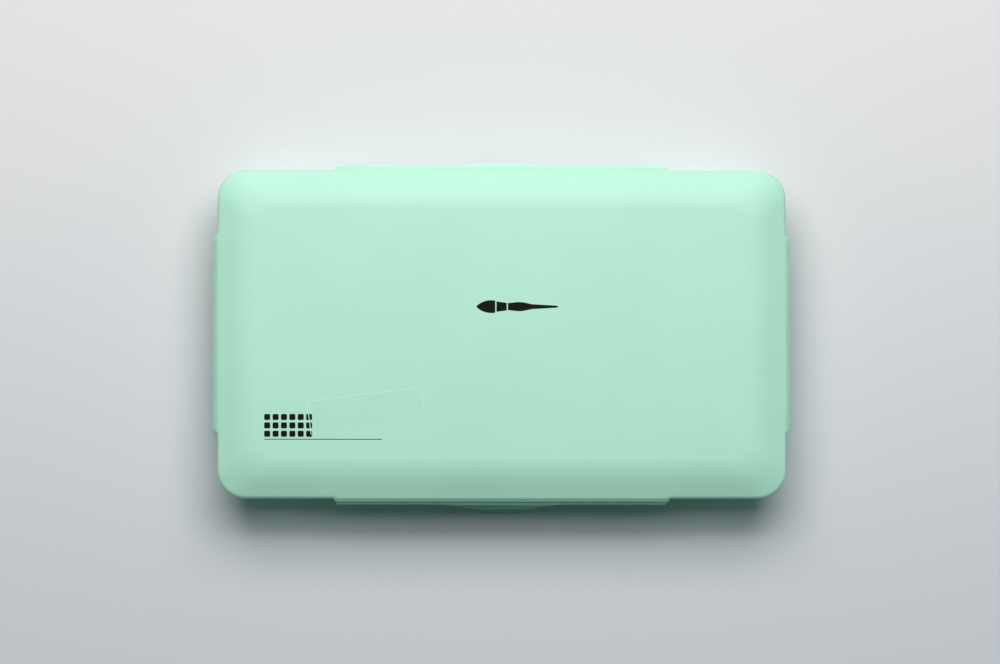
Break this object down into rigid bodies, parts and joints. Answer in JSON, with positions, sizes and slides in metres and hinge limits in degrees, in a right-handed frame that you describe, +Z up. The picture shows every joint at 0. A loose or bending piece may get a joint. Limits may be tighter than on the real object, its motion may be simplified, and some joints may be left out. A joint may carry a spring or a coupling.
{
  "type": "gouache paint box",
  "caption": "Shallow snap-lock paint box with a crowned lid, hinged side flaps, a mixing palette and a rack of square paint cups.",
  "frame": {"origin": "on the ground under the middle of the closed box", "axes": "+X along the long side, +Y towards the back flap, +Z up through the lid"},
  "size_m": [0.3258, 0.196, 0.044],
  "materials": {
    "mint_shell": "satin moulded polypropylene",
    "white_plastic": "smooth moulded plastic",
    "milky_cup": "translucent moulded plastic",
    "seal_rubber": "matt silicone",
    "clear_film": "thin clear film",
    "black_print": "flat printed ink",
    "paint_white": "thick water paint, satin",
    "paint_lemon": "thick water paint, satin",
    "paint_yellow": "thick water paint, satin",
    "paint_orange": "thick water paint, satin",
    "paint_vermilion": "thick water paint, satin",
    "paint_red": "thick water paint, satin",
    "paint_rose": "thick water paint, satin",
    "paint_violet": "thick water paint, satin",
    "paint_indigo": "thick water paint, satin",
    "paint_blue": "thick water paint, satin",
    "paint_sky_blue": "thick water paint, satin",
    "paint_turquoise": "thick water paint, satin",
    "paint_green": "thick water paint, satin",
    "paint_leaf_green": "thick water paint, satin",
    "paint_ochre": "thick water paint, satin",
    "paint_sienna": "thick water paint, satin",
    "paint_umber": "thick water paint, satin",
    "paint_black": "thick water paint, satin"
  },
  "bodies": {
    "tub": {"tub": "mint_shell"},
    "rack": {"cup_rack": "white_plastic"},
    "filled_cup_01": {"cup_01": "milky_cup", "paint_01": "paint_white"},
    "filled_cup_02": {"cup_02": "milky_cup", "paint_02": "paint_lemon"},
    "filled_cup_03": {"cup_03": "milky_cup", "paint_03": "paint_yellow"},
    "filled_cup_04": {"cup_04": "milky_cup", "paint_04": "paint_orange"},
    "filled_cup_05": {"cup_05": "milky_cup", "paint_05": "paint_vermilion"},
    "filled_cup_06": {"cup_06": "milky_cup", "paint_06": "paint_red"},
    "filled_cup_07": {"cup_07": "milky_cup", "paint_07": "paint_rose"},
    "filled_cup_08": {"cup_08": "milky_cup", "paint_08": "paint_violet"},
    "filled_cup_09": {"cup_09": "milky_cup", "paint_09": "paint_indigo"},
    "filled_cup_10": {"cup_10": "milky_cup", "paint_10": "paint_blue"},
    "filled_cup_11": {"cup_11": "milky_cup", "paint_11": "paint_sky_blue"},
    "filled_cup_12": {"cup_12": "milky_cup", "paint_12": "paint_turquoise"},
    "filled_cup_13": {"cup_13": "milky_cup", "paint_13": "paint_green"},
    "filled_cup_14": {"cup_14": "milky_cup", "paint_14": "paint_leaf_green"},
    "filled_cup_15": {"cup_15": "milky_cup", "paint_15": "paint_ochre"},
    "filled_cup_16": {"cup_16": "milky_cup", "paint_16": "paint_sienna"},
    "filled_cup_17": {"cup_17": "milky_cup", "paint_17": "paint_umber"},
    "filled_cup_18": {"cup_18": "milky_cup", "paint_18": "paint_black"},
    "palette": {"palette": "white_plastic"},
    "lid": {"lid": "mint_shell", "lid_seal": "seal_rubber", "flap_web_front": "mint_shell", "flap_web_back": "mint_shell", "flap_web_left": "mint_shell", "flap_web_right": "mint_shell"},
    "front_flap": {"flap_front": "mint_shell"},
    "back_flap": {"flap_back": "mint_shell"},
    "left_flap": {"flap_left": "mint_shell"},
    "right_flap": {"flap_right": "mint_shell"}
  },
  "joints": [
    {"name": "rack_lift", "type": "slide", "parent": "tub", "child": "rack", "axis": [0, 0, 1], "range_m": [0, 0.04]},
    {"name": "palette_lift", "type": "slide", "parent": "rack", "child": "palette", "axis": [0, 0, 1], "range_m": [0, 0.06]},
    {"name": "lid_lift", "type": "slide", "parent": "palette", "child": "lid", "axis": [0, 0, 1], "range_m": [0, 0.06]},
    {"name": "cup_01_lift", "type": "slide", "parent": "rack", "child": "filled_cup_01", "axis": [0, 0, 1], "range_m": [0, 0.027]},
    {"name": "cup_02_lift", "type": "slide", "parent": "rack", "child": "filled_cup_02", "axis": [0, 0, 1], "range_m": [0, 0.027]},
    {"name": "cup_03_lift", "type": "slide", "parent": "rack", "child": "filled_cup_03", "axis": [0, 0, 1], "range_m": [0, 0.027]},
    {"name": "cup_04_lift", "type": "slide", "parent": "rack", "child": "filled_cup_04", "axis": [0, 0, 1], "range_m": [0, 0.027]},
    {"name": "cup_05_lift", "type": "slide", "parent": "rack", "child": "filled_cup_05", "axis": [0, 0, 1], "range_m": [0, 0.027]},
    {"name": "cup_06_lift", "type": "slide", "parent": "rack", "child": "filled_cup_06", "axis": [0, 0, 1], "range_m": [0, 0.027]},
    {"name": "cup_07_lift", "type": "slide", "parent": "rack", "child": "filled_cup_07", "axis": [0, 0, 1], "range_m": [0, 0.027]},
    {"name": "cup_08_lift", "type": "slide", "parent": "rack", "child": "filled_cup_08", "axis": [0, 0, 1], "range_m": [0, 0.027]},
    {"name": "cup_09_lift", "type": "slide", "parent": "rack", "child": "filled_cup_09", "axis": [0, 0, 1], "range_m": [0, 0.027]},
    {"name": "cup_10_lift", "type": "slide", "parent": "rack", "child": "filled_cup_10", "axis": [0, 0, 1], "range_m": [0, 0.027]},
    {"name": "cup_11_lift", "type": "slide", "parent": "rack", "child": "filled_cup_11", "axis": [0, 0, 1], "range_m": [0, 0.027]},
    {"name": "cup_12_lift", "type": "slide", "parent": "rack", "child": "filled_cup_12", "axis": [0, 0, 1], "range_m": [0, 0.027]},
    {"name": "cup_13_lift", "type": "slide", "parent": "rack", "child": "filled_cup_13", "axis": [0, 0, 1], "range_m": [0, 0.027]},
    {"name": "cup_14_lift", "type": "slide", "parent": "rack", "child": "filled_cup_14", "axis": [0, 0, 1], "range_m": [0, 0.027]},
    {"name": "cup_15_lift", "type": "slide", "parent": "rack", "child": "filled_cup_15", "axis": [0, 0, 1], "range_m": [0, 0.027]},
    {"name": "cup_16_lift", "type": "slide", "parent": "rack", "child": "filled_cup_16", "axis": [0, 0, 1], "range_m": [0, 0.027]},
    {"name": "cup_17_lift", "type": "slide", "parent": "rack", "child": "filled_cup_17", "axis": [0, 0, 1], "range_m": [0, 0.027]},
    {"name": "cup_18_lift", "type": "slide", "parent": "rack", "child": "filled_cup_18", "axis": [0, 0, 1], "range_m": [0, 0.027]},
    {"name": "front_flap_swing", "type": "hinge", "parent": "lid", "child": "front_flap", "pos_m": [0, -0.09415, 0.0327], "axis": [-1, 0, 0], "range_deg": [0, 115], "deforming": ["flap_web_front"]},
    {"name": "back_flap_swing", "type": "hinge", "parent": "lid", "child": "back_flap", "pos_m": [0, 0.09415, 0.0327], "axis": [1, 0, 0], "range_deg": [0, 115], "deforming": ["flap_web_back"]},
    {"name": "left_flap_swing", "type": "hinge", "parent": "lid", "child": "left_flap", "pos_m": [-0.16165, 0, 0.0327], "axis": [0, 1, 0], "range_deg": [0, 115], "deforming": ["flap_web_left"]},
    {"name": "right_flap_swing", "type": "hinge", "parent": "lid", "child": "right_flap", "pos_m": [0.16165, 0, 0.0327], "axis": [0, -1, 0], "range_deg": [0, 115], "deforming": ["flap_web_right"]}
  ],
  "couplings": [
    {"joint": "cup_01_lift", "follows": "palette_lift", "ratio": 0.45},
    {"joint": "cup_02_lift", "follows": "palette_lift", "ratio": 0.45},
    {"joint": "cup_03_lift", "follows": "palette_lift", "ratio": 0.45},
    {"joint": "cup_04_lift", "follows": "palette_lift", "ratio": 0.45},
    {"joint": "cup_05_lift", "follows": "palette_lift", "ratio": 0.45},
    {"joint": "cup_06_lift", "follows": "palette_lift", "ratio": 0.45},
    {"joint": "cup_07_lift", "follows": "palette_lift", "ratio": 0.45},
    {"joint": "cup_08_lift", "follows": "palette_lift", "ratio": 0.45},
    {"joint": "cup_09_lift", "follows": "palette_lift", "ratio": 0.45},
    {"joint": "cup_10_lift", "follows": "palette_lift", "ratio": 0.45},
    {"joint": "cup_11_lift", "follows": "palette_lift", "ratio": 0.45},
    {"joint": "cup_12_lift", "follows": "palette_lift", "ratio": 0.45},
    {"joint": "cup_13_lift", "follows": "palette_lift", "ratio": 0.45},
    {"joint": "cup_14_lift", "follows": "palette_lift", "ratio": 0.45},
    {"joint": "cup_15_lift", "follows": "palette_lift", "ratio": 0.45},
    {"joint": "cup_16_lift", "follows": "palette_lift", "ratio": 0.45},
    {"joint": "cup_17_lift", "follows": "palette_lift", "ratio": 0.45},
    {"joint": "cup_18_lift", "follows": "palette_lift", "ratio": 0.45}
  ]
}
